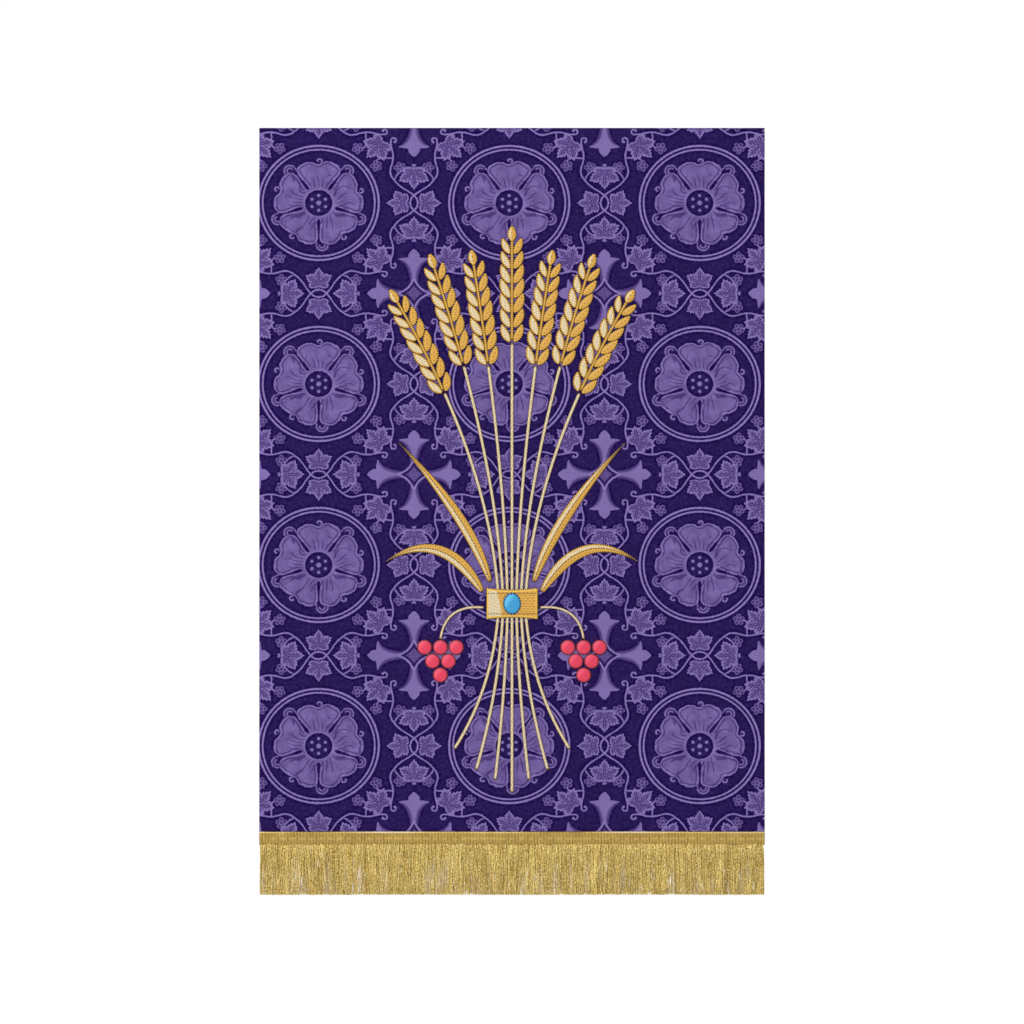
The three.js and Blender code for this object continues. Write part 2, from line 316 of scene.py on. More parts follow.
def draw_figure():
    tree = bpy.data.node_groups.new("brocade_figure", "ShaderNodeTree")
    tree.interface.new_socket("Place", in_out="INPUT", socket_type="NodeSocketVector")
    tree.interface.new_socket("Tone", in_out="OUTPUT", socket_type="NodeSocketFloat")
    tree.interface.new_socket("Beside", in_out="OUTPUT", socket_type="NodeSocketFloat")
    start = tree.nodes.new("NodeGroupInput")
    end = tree.nodes.new("NodeGroupOutput")
    x, z, _ = apart(start.outputs["Place"])
    stray_x = (noise(start.outputs["Place"], 0.42, 1.0) - 0.5) * STRAY
    stray_z = (noise(together(z, x), 0.42, 1.0) - 0.5) * STRAY
    x = each((x + stray_x - ROUNDEL_X) * (REPEAT / REPEAT_X), REPEAT)
    z = each((z + stray_z - ROUNDEL_Z) * (REPEAT / REPEAT_Z), REPEAT)
    ripple = noise(together(x, z), 0.09, 2.0) - 0.5
    speck = noise(together(x, z), 0.55, 1.0) - 0.5

    # The roundel's two lines
    r = reach(x, z)
    tone = most(stroke(r - INNER_RING, 0.85), stroke(r - OUTER_RING, 1.0))

    # The rose: five broad petals with a light rim, a line inside it and a few wavering veins
    turn = reckon("ARCTAN2", x, z)
    petal_turn = each(turn, 2 * math.pi / PETALS)
    gap_turn = each(turn - math.pi / PETALS, 2 * math.pi / PETALS)
    gap_out, gap_off = r * reckon("COSINE", gap_turn), r * reckon("SINE", gap_turn)
    gap = profile(gap_out, PETAL_GAP)
    crown = profile(abs(petal_turn), PETAL_CROWN, "AUTO")
    petal_edge = most(gap - abs(gap_off), r + ripple * 5.6 - crown, BOSS - r)
    drift = noise(together(x, z), 0.05, 0.0) - 0.5
    length = noise(together(turn * 3.4, 2.0), 1.0, 0.0)
    vein_turn = each(petal_turn + drift * 1.1, 0.28)
    vein = stroke(vein_turn * r, 0.65) * within(16.5 - r) * within(r - 8 - 44 * length, 3.0)
    inner_line = stroke(petal_edge + 2.6 + ripple * 3.0, 0.6) * within(20 - r)
    silk = 0.675 + ripple * 0.75 + speck * 0.16 + 0.2 * within(-1.2 - petal_edge)
    petal = within(petal_edge) * silk * (1 - 0.55 * most(inner_line, vein))

    # Between the petals a curled sepal, at each petal's middle a small curl, and a seeded boss in the heart
    to_right = reckon("SIGN", x - 20 * within(z + 30))
    hook_off = gap_off * to_right - 3.4
    hook = reach(gap_out - 43.4, hook_off)
    ribbon = most(stroke(hook - 5.7, 0.65), stroke(hook - 2.6, 0.55), 0.36 * stroke(hook - 4.1, 1.5))
    arch = ribbon * within(42.3 - gap_out - 0.3 * hook_off)
    sepal_stem = stroke(hook_off + 5.6, 0.6) * within(abs(gap_out - 40) - 3.4)
    petal_out, petal_off = r * reckon("COSINE", petal_turn), r * reckon("SINE", petal_turn)
    curl_out = reach(petal_out - 43.0, petal_off - 0.9)
    curl = stroke(curl_out - 2.2, 0.85) * within(41.9 - petal_out - 0.7 * petal_off)
    seed_turn = each(turn, 2 * math.pi / SEEDS)
    seeds = most(within(reach(r - 7.6, seed_turn * 7.6) - 1.6), within(r - 2.4))
    outside = 1 - within(petal_edge - 0.8)
    tone = most(tone, petal, most(arch, sepal_stem, curl) * outside * 0.9, seeds * 0.9)

    # The cross: a hollow-sided lozenge with four arms, shaded at the sides, that open into three lobes
    u, v = abs(x), abs(z)
    beside_h, beside_v = REPEAT / 2 - v, REPEAT / 2 - u
    along, side = most(beside_h, beside_v), least(beside_h, beside_v)
    half = profile(along, CROSS_ARM)
    ridge = profile(along, CROSS_RIDGE)
    arm = within(side - half) * choose(within(side - ridge, 1.3), 0.36 + ripple * 0.2, 0.84 + speck * 0.16)
    hollow = reach(along - 20, side - 20)
    lozenge_line = stroke(hollow - 19.9, 0.95) * within(along - 16)
    lozenge_fill = within(23.2 - hollow) * (0.46 + speck * 0.5) * within(along - 12)
    tone = most(tone, arm, lozenge_line, lozenge_fill)

    # The vine: two strands that leave a knot, part and end in hooks, with stems, tendrils and berries
    upright = reckon("LESS_THAN", beside_v, beside_h)
    s, t = choose(upright, u, v), least(beside_h, beside_v)
    strand_off = abs(t - abs(profile(s, VINE, "AUTO"))) / profile(s, VINE_SLANT)
    strand = within(strand_off - 0.8) * within(s - VINE_END)
    stalks = most(stroke(s, 0.5) * within(abs(t - 6) - 2), stroke(t, 0.5) * within(abs(s - 37) - 2.6))
    end_hook = stroke(reach(s - 64.5, t - 20.1) - 2.5, 0.78) * (1 - within(s - 64) * within(19.2 - t))
    end_drop = within(reach(s - 62.8, t - 18.9) - 1.2)
    leaf_stem = stroke((reach((s - 20) / 16.2, t / 19.8) - 1) * 17, 0.66) * within(24 - s) * within(t - 19)
    bud = within(reach(s - 38.8, t - 0.9) - 1.3)
    tendril = stroke(s - 46.2 - ripple * 2, 0.72) * within(t - 32.5) * within(20 - t)
    tendril_out = reach(s - 42.2 - ripple * 2, t - 32.5)
    tendril_turn = stroke(tendril_out - 4, 0.72) * within(32.5 - t) * within(42 - s)
    small_curl = stroke(reach(s - 54.4, t - 24.9) - 2.1, 0.6) * within(53.6 - s)
    drawn = most(strand, end_hook, end_drop, leaf_stem, tendril, tendril_turn, small_curl * 0.85)
    tone = most(tone, drawn * 0.96, stalks * 0.85, bud * 0.85)

    outer = reckon("GREATER_THAN", t, 25)
    g, h = abs(s - choose(outer, 36.6, 38.2)), t - choose(outer, 14.0, 37.0)
    berry = least(reach(g, h - 3.8), reach(g - 3.5, h - 1.0), reach(g - 2.1, h + 3.2), reach(g, h))
    bunch = most(stroke(berry - VINE_BERRY, 0.45) * 0.76, within(berry - VINE_BERRY) * (0.26 + speck * 0.5))
    tone = most(tone, bunch)

    # The leaves: one drawing, set over each knot, inside each pair of strands and in each corner
    corner = reckon("LESS_THAN", reach(u - 56, v - 56), 18)
    wide = reckon("GREATER_THAN", s - 0.12 * t, 12.0)
    corner_out, corner_off = (60.4 - u) + (60.4 - v), abs(u - v)
    out = choose(corner, choose(wide, (t - 10.6) * 0.89, (31.6 - s) * 0.82), corner_out * 0.53)
    off = choose(corner, choose(wide, 0.96 * s, 0.84 * t), corner_off * 0.6)
    leaf_r = reach(out, off)
    leaf_turn = reckon("ARCTAN2", off, out) / math.pi
    lobe = profile(leaf_turn, LEAF_LOBES)
    from_rib = profile(leaf_turn, LEAF_RIBS) * leaf_r * math.pi
    rib = (stroke(from_rib, 1.2) - stroke(from_rib, 0.36)) * within(leaf_r - 0.86 * lobe)
    branch = stroke(each(leaf_r - 1.3 * from_rib, 3.0), 0.5) * within(leaf_r - 0.86 * lobe)
    blade = 0.82 + speck * 0.55 + 0.18 * within(lobe - 1.4 - leaf_r)
    leaf = within(leaf_r - lobe) * blade * (1 - most(0.75 * rib, 0.6 * branch))
    tone = most(tone, leaf)
    tree.links.new(tone.socket, end.inputs["Tone"])

    # Painted shade: beside the figure the ground is kept darker than the open ground
    rings = abs(r - (INNER_RING + OUTER_RING) / 2) - 2.8
    strands = strand_off - 0.8 + most(s - VINE_END, 0.0)
    outline = least(rings, petal_edge, side - half, strands, leaf_r - lobe, berry - VINE_BERRY)
    beside = within(outline - 2.6, 1.1)
    tree.links.new(beside.socket, end.inputs["Beside"])
    return tree


FIGURE = draw_figure()


def brocade(name, tones, gloss):
    """A cloth material: the figure's tones, a fine weave, and threads that vary a little."""
    weave_pitch = 0.62
    material, tree, shader = new_material(name)
    woven_at = tree.nodes.new("ShaderNodeUVMap")
    woven_at.uv_map = "weave"
    millimetres = scaled(woven_at.outputs["UV"], 1000)
    figure = tree.nodes.new("ShaderNodeGroup")
    figure.node_tree = FIGURE
    tree.links.new(millimetres, figure.inputs["Place"])
    tone = Reading(figure.outputs["Tone"])
    mottle = noise(millimetres, 0.33, 1.0)
    # Painted shade: the open ground is lifted, so the ground beside the figure stays darker
    lift_away_from_painted_shade = (1 - Reading(figure.outputs["Beside"])) * 0.05
    shown = tone + (most(mottle - 0.42, 0.0) * 0.27 + lift_away_from_painted_shade) * (1 - tone)
    ramp = tree.nodes.new("ShaderNodeValToRGB")
    for _ in tones[2:]:
        ramp.color_ramp.elements.new(0.5)
    for stop, (at, dye) in zip(ramp.color_ramp.elements, tones):
        stop.position = at
        stop.color = colour(dye)
    feed(tree, ramp.inputs["Fac"], shown)
    x, z, _ = apart(millimetres)
    slub = noise(together(x * 0.9, z * 0.35), 1.0, 2.0)
    grain = noise(millimetres, 0.95, 1.0)
    cloud = noise(millimetres, 0.055, 2.0)
    shade = 0.58 + 0.34 * slub + 0.5 * grain + choose(tone, 0.5, 0.2) * (cloud - 0.5)
    tree.links.new(scaled(ramp.outputs["Color"], shade), shader.inputs["Base Color"])
    warp = reckon("SINE", x * (2 * math.pi / weave_pitch))
    weft = reckon("SINE", z * (2 * math.pi / weave_pitch))
    raise_threads(shader, warp * weft * 0.035 + grain * 0.12, 0.6)
    feed(tree, shader.inputs["Roughness"], choose(tone, *gloss))
    shader.inputs["Specular IOR Level"].default_value = 0.03
    return material


def looks_back(face):
    return face.normal.y > 0.3


def follow_weave(bm):
    """Where each point lies in the flat cloth: the pattern runs on over the folds into the hems."""
    weave = bm.loops.layers.uv.new("weave")
    side = CLOTH_WIDTH / 2 - HEM_WIDTH - HEM_SLOPE
    top = -TOP_HEM_WIDTH - HEM_SLOPE
    bottom = HEM_WIDTH + HEM_SLOPE - CLOTH_DROP
    for face in bm.faces:
        middle = face.calc_center_median()
        is_back = looks_back(face)
        end_hem = is_back and not bottom < middle.z < top
        side_hem = is_back and not end_hem and abs(middle.x) > side
        face.material_index = 1 if is_back and not end_hem and not side_hem else 0
        for loop in face.loops:
            x, _, z = loop.vert.co
            if side_hem:
                x = math.copysign(CLOTH_WIDTH, x) - x
            if end_hem:
                z = (-2 * CLOTH_DROP if middle.z < bottom else 0.0) - z
            loop[weave].uv = (x, z)


def lay_flat(bm):
    """Lays the face of the cloth, its edges and its reverse out on one map, most of it for the face."""
    bake_map = bm.loops.layers.uv.new("OFBake")
    margin = CLOTH_THICKNESS + HEM_RISE
    wide, tall = CLOTH_WIDTH + 2 * margin, CLOTH_DROP + 2 * margin
    for face in bm.faces:
        is_back = looks_back(face)
        at, share = (0.706, 0.292) if is_back else (0.002, 0.7)
        for loop in face.loops:
            x, y, z = loop.vert.co
            depth = 0.0 if is_back else max(0.0, y - hang(x, z) + CLOTH_THICKNESS / 2)
            if abs(x) > CLOTH_WIDTH / 2 - EDGE_ZONE:
                x += math.copysign(depth, x)
            if z > -EDGE_ZONE:
                z += depth
            if z < EDGE_ZONE - CLOTH_DROP:
                z -= depth
            loop[bake_map].uv = (at + share * (x / wide + 0.5), 0.998 + 0.996 * (z - margin) / tall)


def brocade_cloth():
    columns, rows, touching = 84, 120, 1e-6
    bm = bmesh.new()
    bmesh.ops.create_grid(bm, x_segments=columns, y_segments=rows, size=0.5)
    for vert in bm.verts:
        x, z = vert.co.x * CLOTH_WIDTH, (vert.co.y - 0.5) * CLOTH_DROP
        vert.co = (x, 0.0, z)
    turned = CLOTH_WIDTH / 2 - HEM_WIDTH
    hem_lines = [(x, "x") for x in (-turned, turned, -turned + HEM_SLOPE, turned - HEM_SLOPE)]
    hem_lines += [(z, "z") for z in (-TOP_HEM_WIDTH, -TOP_HEM_WIDTH - HEM_SLOPE,
                                     HEM_WIDTH - CLOTH_DROP, HEM_WIDTH + HEM_SLOPE - CLOTH_DROP)]
    for at, way in hem_lines:
        point, normal = ((at, 0, 0), (1, 0, 0)) if way == "x" else ((0, 0, at), (0, 0, 1))
        bmesh.ops.bisect_plane(bm, geom=bm.verts[:] + bm.edges[:] + bm.faces[:], dist=touching,
                               plane_co=point, plane_no=normal)
    front = set(bm.faces)
    rim = [edge for edge in bm.edges if edge.is_boundary]
    walls = bmesh.ops.extrude_edge_only(bm, edges=rim)
    back_rim = [v for v in walls["geom"] if isinstance(v, bmesh.types.BMVert)]
    bmesh.ops.translate(bm, verts=back_rim, vec=(0, CLOTH_THICKNESS, 0))
    behind = bmesh.ops.duplicate(bm, geom=list(front) + list({e for f in front for e in f.edges})
                                 + list({v for f in front for v in f.verts}))["geom"]
    back_faces = [f for f in behind if isinstance(f, bmesh.types.BMFace)]
    back_verts = [v for v in behind if isinstance(v, bmesh.types.BMVert)]
    bmesh.ops.translate(bm, verts=back_verts, vec=(0, CLOTH_THICKNESS, 0))
    bmesh.ops.reverse_faces(bm, faces=back_faces)
    bmesh.ops.remove_doubles(bm, verts=bm.verts[:], dist=touching)
    bmesh.ops.recalc_face_normals(bm, faces=bm.faces[:])
    for vert in bm.verts:
        x, z = vert.co.x, vert.co.z
        at_back = vert.co.y > CLOTH_THICKNESS / 2
        side_hem = abs(x) >= turned - touching
        end_hem = z >= -TOP_HEM_WIDTH - touching or z <= HEM_WIDTH - CLOTH_DROP + touching
        rise = HEM_RISE if at_back and (side_hem or end_hem) else 0
        vert.co.y += hang(x, z) - CLOTH_THICKNESS / 2 + rise
    sharp = [e for e in bm.edges if e.calc_face_angle(0) > math.radians(60)]
    bmesh.ops.bevel(bm, geom=sharp, offset=EDGE_BEVEL, segments=3, profile=0.5, affect="EDGES", material=-1)
    bm.normal_update()
    follow_weave(bm)
    lay_flat(bm)
    dark, middling, figure, bright = 0x12043E, 0x46356C, 0x6C5C93, 0x7B6BA1
    face_tones = [(0, dark), (0.4, middling), (0.8, figure), (1, bright)]
    face_of_cloth = brocade("brocade_face", face_tones, (0.82, 0.6))
    reverse = brocade("brocade_reverse", [(0, figure), (0.6, middling), (1, dark)], (0.85, 0.85))
    return new_piece("brocade_cloth", bm, [face_of_cloth, reverse])


def hem_stitches():
    """The slanted hand stitches that hold the turned edges down at the back, a few millimetres apart."""
    pitch, bite, slant, half_thread = 0.0062, 0.0014, 0.0030, 0.00028
    side, top, bottom = CLOTH_WIDTH / 2 - HEM_WIDTH, -TOP_HEM_WIDTH, HEM_WIDTH - CLOTH_DROP
    bm = bmesh.new()
    for start, end, out in (
        ((-side, top), (-side, bottom), (-1, 0)),
        ((side, bottom), (side, top), (1, 0)),
        ((-side, top), (side, top), (0, 1)),
        ((side, bottom), (-side, bottom), (0, -1)),
    ):
        start, end, out = Vector(start), Vector(end), Vector(out)
        run = (end - start).normalized()
        count = round((end - start).length / pitch)
        for number in range(count):
            at = start.lerp(end, (number + 0.5) / count)
            hem, ground = at + out * bite, at - out * (HEM_SLOPE + bite) + run * slant
            on_hem = Vector((hem.x, hang(*hem) + CLOTH_THICKNESS / 2 + HEM_RISE, hem.y))
            on_ground = Vector((ground.x, hang(*ground) + CLOTH_THICKNESS / 2, ground.y))
            along = on_hem - on_ground
            turned = along.to_track_quat("Z", "Y").to_matrix().to_4x4()
            place = Matrix.Translation(on_ground + along / 2) @ turned
            bmesh.ops.create_cone(bm, cap_ends=True, segments=6, radius1=half_thread, radius2=half_thread,
                                  depth=along.length, matrix=place)
    purple, tree, shader = new_material("hem_thread")
    x, _, z = apart(tree.nodes.new("ShaderNodeTexCoord").outputs["Object"])
    twist = reckon("SINE", (x + z) * 9000) * 0.16 + noise(together(x * 700, z * 700), 1.0, 1.0)
    spun = scaled(colour(0x9A88BE)[:3], 0.55 + 0.8 * twist)
    tree.links.new(spun, shader.inputs["Base Color"])
    shader.inputs["Roughness"].default_value = 0.6
    return new_piece("hem_stitches", bm, [purple])


cloth = brocade_cloth()
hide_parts("brocade_panel")
hem_sewing = hem_stitches()
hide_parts("brocade_panel")


# The stems: seven cream satin-stitched cords that run from their cut feet, under the tie, up to the ears.
# Each is stitched over a core, so it stands a little above the cloth.

SEWN_GAP = 0.0003
STEM_WIDTH = 0.0032
STEM_RISE = 0.0012
STEM_SPACING = 0.0044
TIE_Z = -0.478
EAR_LENGTH = 0.118
STALKS = [
    # tip across, tip, foot across, foot
    (0.0, -0.098, 0.0, -0.668),
    (0.041, -0.122, 0.017, -0.655),
    (0.083, -0.126, 0.036, -0.645),
    (0.123, -0.162, 0.058, -0.624),
]


class Course:
    """A line over the cloth that stitching follows, measured by its own length."""

    def __init__(self, points):
        self.points = [Vector(p).to_2d() for p in points]
        self.marks = [0.0]
        for a, b in zip(self.points, self.points[1:]):
            self.marks.append(self.marks[-1] + (b - a).length)
        self.length = self.marks[-1]

    def at(self, share):
        """The place at a share of the length, and the way the line runs there."""
        wanted = min(max(share, 0.0), 1.0) * self.length
        i = min(max(bisect_left(self.marks, wanted), 1), len(self.marks) - 1)
        part = (wanted - self.marks[i - 1]) / (self.marks[i] - self.marks[i - 1])
        run = self.points[min(i + 1, len(self.points) - 1)] - self.points[max(i - 2, 0)]
        return self.points[i - 1].lerp(self.points[i], part), run.normalized()


def bent(start, bend, end):
    """Points along a line drawn from start to end and pulled towards bend."""
    start, bend, end = (Vector((*p, 0)) for p in (start, bend, end))
    return interpolate_bezier(start, start.lerp(bend, 2 / 3), end.lerp(bend, 2 / 3), end, 120)


def stalk_up(order, side):
    tip_x, tip_z, _, _ = STALKS[order]
    tie_x = side * order * STEM_SPACING
    return bent((tie_x, TIE_Z), (tie_x * 1.6, -0.330), (side * tip_x, tip_z))


def stalk_foot(order, side):
    _, _, foot_x, foot_z = STALKS[order]
    tie_x = side * order * STEM_SPACING
    return bent((side * foot_x, foot_z), (tie_x * 1.3, -0.560), (tie_x, TIE_Z))


def over_cloth(x, z, rise):
    return Vector((x, hang(x, z) - CLOTH_THICKNESS / 2 - SEWN_GAP - rise, z))


def all_deep(along, across):
    """The shade of stitching that is all in the deeper thread."""
    return 0.0


def all_pale(along, across):
    """The shade of stitching that is all in the paler thread."""
    return 1.0


def stitch(bm, course, half_width, rise, lift=0.0, tilt=0.0, rows=40, columns=8, tone=all_deep):
    """Lays padded stitching along a course: a domed face and a flat back, closed at the rim."""
    uv = bm.loops.layers.uv.verify()
    rim_layer = bm.verts.layers.float.get("rim") or bm.verts.layers.float.new("rim")
    tone_layer = bm.verts.layers.float.get("tone") or bm.verts.layers.float.new("tone")
    placed = {}
    for back in (False, True):
        made = bmesh.ops.create_grid(bm, x_segments=columns, y_segments=rows, size=0.5)["verts"]
        for vert in made:
            across = math.sin(math.pi * vert.co.x)
            along = vert.co.y + 0.5
            middle, run = course.at(along)
            wide = half_width(along) * across
            place = middle + Vector((run.y, -run.x)) * wide
            to_end = min(along, 1 - along) * course.length
            inside = min(1.0, to_end / rise)
            dome = math.sqrt(max(0.0, 1 - abs(across) ** 2.6)) * math.sqrt(1 - (1 - inside) ** 2)
            vert.co = over_cloth(place.x, place.y, lift + tilt * along + (0.0 if back else rise * dome))
            vert[rim_layer] = min(half_width(along) * (1 - abs(across)), to_end)
            vert[tone_layer] = tone(along, across)
            placed[vert] = (along * course.length, wide)
        faces = list({face for vert in made for face in vert.link_faces})
        if back:
            bmesh.ops.reverse_faces(bm, faces=faces)
        for face in faces:
            for loop in face.loops:
                loop[uv].uv = placed[loop.vert]
        if back:
            rims = [v for v in placed if v.is_boundary]
            bmesh.ops.remove_doubles(bm, verts=rims, dist=1e-7)


def tint(tree, amount, below, above):
    """One colour laid over another where the amount says."""
    mix = tree.nodes.new("ShaderNodeMix")
    mix.data_type = "RGBA"
    feed(tree, mix.inputs["Factor"], amount)
    for socket, dye in ((mix.inputs["A"], below), (mix.inputs["B"], above)):
        if isinstance(dye, int):
            socket.default_value = colour(dye)
        else:
            tree.links.new(dye, socket)
    return mix.outputs["Result"]


def measure(tree, name):
    """A number that the stitching carries at each of its points."""
    node = tree.nodes.new("ShaderNodeAttribute")
    node.attribute_name = name
    return Reading(node.outputs["Fac"])


def thread(name, fills, border, edging, lines=(), edge=(1.1, 2.2), border_width=1.8, is_round=False):
    """An embroidery material: deep and pale filling, a satin border, and dark stitches round the rim."""
    material, tree, shader = new_material(name)
    deep_fill, deep_dash, pale_fill, pale_dash = fills
    edge_width, edge_pitch = edge
    brick_length, brick_height = 4.2, 2.7
    slant_pitch, dash_pitch, satin_pitch, ply_pitch = 1.8, 5.2, 1.1, 0.7
    u, v, _ = apart(tree.nodes.new("ShaderNodeUVMap").outputs["UV"])
    u, v = u * 1000, v * 1000
    rim = measure(tree, "rim") * 1000
    is_pale = within(0.5 - measure(tree, "tone"), 0.15)
    brick_row = reckon("FLOOR", v / brick_height + 0.5)
    brick_end = each(u + brick_row * (brick_length / 2), brick_length)
    brick = stroke(brick_end, 1.1) * stroke(each(v, brick_height), 0.55)
    slant = v + u * math.tan(math.radians(17))
    slant_row = reckon("FLOOR", slant / slant_pitch + 0.5)
    dash = stroke(each(slant, slant_pitch), 0.26) * stroke(each(u + slant_row * 2.3, dash_pitch), 1.9)
    body = tint(tree, brick * 0.85, deep_fill, deep_dash)
    light_body = tint(tree, dash * 0.8, pale_fill, pale_dash)
    dyed = tint(tree, is_pale, body, light_body)
    walk = reckon("ARCTAN2", u, v) * 7.5 if is_round else u
    satin = abs(each(walk, satin_pitch)) / (satin_pitch / 2)
    in_border = within(rim - border_width, 0.15)
    dyed = tint(tree, in_border, dyed, border)
    for at in lines:
        dyed = tint(tree, stroke(abs(v) - at, 0.42) * stroke(each(u, 2.6), 0.85), dyed, edging)
    edge_stitch = within(rim - edge_width, 0.12) * stroke(each(walk, edge_pitch), edge_pitch * 0.29)
    dyed = tint(tree, edge_stitch, dyed, edging)
    uneven = noise(together(u * 0.25, v * 0.9), 1.0, 2.0)
    # Painted shade: the border's colour is darker in the gaps between its satin threads
    shaded = scaled(dyed, 0.86 + 0.28 * uneven - 0.1 * satin * in_border)
    tree.links.new(shaded, shader.inputs["Base Color"])
    ply = each(slant, ply_pitch) / (ply_pitch / 2)
    raise_threads(shader, (1 - ply * ply) * 0.1 - most(brick, dash) * 0.12, 0.7)
    shader.inputs["Roughness"].default_value = 0.4
    shader.inputs["Specular IOR Level"].default_value = 0.35
    return material


GOLD_FILLS = (0xC7983F, 0x95641F, 0xD3C39E, 0x6A5030)
DARK_STITCH = 0x2A1B0C
cream_thread = thread("cream_thread", GOLD_FILLS, 0xB79C68, 0x6E5226, edge=(0.5, 1.7), border_width=0.55)
SIDES = {"middle": (0,), "left": (1, 2, 3), "right": (1, 2, 3)}
SIGN = {"middle": 1, "left": -1, "right": 1}


def stalk_name(kind, side, order):
    return f"{kind}_{side}" if side == "middle" else f"{kind}_{side}_{order}"


def stem(side, order):
    up = Course(stalk_up(order, SIGN[side]))
    ear_base = 1 - (EAR_LENGTH + SEWN_GAP) / up.length
    rising = [up.at(ear_base * i / 100)[0] for i in range(1, 101)]
    course = Course([*stalk_foot(order, SIGN[side]), *rising])
    bm = bmesh.new()
    stitch(bm, course, lambda along: STEM_WIDTH / 2, STEM_RISE, rows=150, columns=8, tone=all_pale)
    name = stalk_name("stem", side, order)
    piece = new_piece("satin_" + name, bm, [cream_thread])
    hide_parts(name)


for side, orders in SIDES.items():
    for order in orders:
        stem(side, order)


# The ears: seven heads of wheat, worked as pairs of padded grains up a spine with one grain at the tip.
# The grains on the side of the light are in paler thread than the others.

EAR_RISE = 0.0018
GRAIN_ROWS = 7
GRAIN_SLANT = math.radians(25)
GRAIN_TILT = 0.0005
GRAIN_HALF_WIDTH = 0.0047
SPINE_HALF_WIDTH = 0.0016
GOLD_BORDER = 0xD2A03C

gold_thread = thread("gold_thread", GOLD_FILLS, GOLD_BORDER, DARK_STITCH)


def grain_half_width(along):
    return GRAIN_HALF_WIDTH * max(0.0, math.sin(math.pi * along ** 0.85)) ** 0.7


def ear(side, order):
    up = Course(stalk_up(order, SIGN[side]))
    base = 1 - EAR_LENGTH / up.length
    bm = bmesh.new()
    spine = Course([up.at(base + (1 - base) * (0.02 + 0.86 * i / 60))[0] for i in range(61)])
    stitch(bm, spine, lambda along: SPINE_HALF_WIDTH, EAR_RISE * 0.7, rows=40, columns=6)
    row_length = EAR_LENGTH / (GRAIN_ROWS + 1)
    for row in range(GRAIN_ROWS):
        swell = math.sin(math.pi * (0.30 + 0.5 * row / (GRAIN_ROWS - 1)))
        root, run = up.at(base + (1 - base) * (row + 0.05) / (GRAIN_ROWS + 1))
        size = 0.6 + 0.4 * swell
        for hand in (-1, 1):
            out = Vector((run.y, -run.x)) * hand
            lean = run * math.cos(GRAIN_SLANT) + out * math.sin(GRAIN_SLANT)
            start = root + out * 0.0018
            end = start + lean * row_length * 1.5 * size
            belly = start.lerp(end, 0.5) + out * 0.0024
            stitch(bm, Course(bent(start, belly, end)), lambda along: grain_half_width(along) * size,
                   EAR_RISE - GRAIN_TILT, tilt=GRAIN_TILT, rows=18, columns=10,
                   tone=all_pale if out.x < 0 else all_deep)
    tip_root, run = up.at(base + (1 - base) * (GRAIN_ROWS - 0.1) / (GRAIN_ROWS + 1))
    tip = Course([tip_root, up.at(1.0)[0]])
    stitch(bm, tip, grain_half_width, EAR_RISE - GRAIN_TILT, tilt=GRAIN_TILT, rows=18, columns=10,
           tone=lambda along, across: 1.0 if across < 0 else 0.0)
    name = stalk_name("ear", side, order)
    piece = new_piece("wheat_" + name, bm, [gold_thread])
    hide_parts(name)


for side, orders in SIDES.items():
    for order in orders:
        ear(side, order)


# The blades: four long leaves that spring from the tie, satin stitched in gold thread. A line of dark
# stitches runs up the middle of each, and one half is paler than the other.

LEAF_RISE = 0.0012
LEAVES = [
    # root, bend, tip, half width
    ((0.022, -0.456), (0.042, -0.392), (0.114, -0.316), 0.0056),
    ((0.030, -0.466), (0.070, -0.398), (0.127, -0.436), 0.0060),
]

blade_thread = thread("blade_thread", GOLD_FILLS, GOLD_BORDER, DARK_STITCH, lines=(0.0,))


def blade(side, number):
    mirror = SIGN[side]
    root, bend, tip, half_width = LEAVES[number]
    course = Course(bent(*[(mirror * x, z) for x, z in (root, bend, tip)]))
    bm = bmesh.new()

    def width(along):
        return max(0.0005, half_width * math.sin(math.pi * (along * 0.94 + 0.05) ** 0.7))

    stitch(bm, course, width, LEAF_RISE, rows=70, columns=12,
           tone=lambda along, across: 1.0 if across < -0.1 else 0.0)
    piece = new_piece(f"blade_{side}_{number + 1}", bm, [blade_thread])
    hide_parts(f"leaf_{side}_{number + 1}")


for side in ("left", "right"):
    for number in range(len(LEAVES)):
        blade(side, number)


# The tie: a band of gold stitching across the stems, drawn in at the middle, and on it a stone in blue
# thread, worked over a pad.

TIE_HEIGHT = 0.032
TIE_HALF_LENGTH = 0.026
TIE_RISE = 0.0012
STONE_WIDTH, STONE_HEIGHT, STONE_RISE = 0.018, 0.022, 0.0015
# The pale blue fill is a lighter copy of the blue, used as a painted highlight on the stone
BLUE_FILLS = (0x328FC1, 0x2C84B6, 0x58AFDA, 0x328FC1)
ROUND_WORK = {"edge": (1.3, 2.5), "border_width": 1.6, "is_round": True}

tie_thread = thread("tie_thread", GOLD_FILLS, 0xDDAE48, DARK_STITCH, lines=(10.2,), edge=(1.0, 2.2),
                    border_width=2.4)
blue_thread = thread("blue_thread", BLUE_FILLS, 0x2A80B0, DARK_STITCH, **ROUND_WORK)


def tie_band():
    course = Course([(-TIE_HALF_LENGTH, TIE_Z), (TIE_HALF_LENGTH, TIE_Z)])
    bm = bmesh.new()
    # Painted highlight: the left end of the band, towards the lamp, is worked in the paler thread
    stitch(bm, course, lambda along: TIE_HEIGHT / 2 * (0.88 + 0.12 * (2 * along - 1) ** 2), TIE_RISE,
           lift=STEM_RISE + SEWN_GAP, rows=60, columns=20,
           tone=lambda along, across: 1.0 if along < 0.26 + 0.06 * across else 0.0)
    piece = new_piece("gold_tie", bm, [tie_thread])
    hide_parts("tie_band")


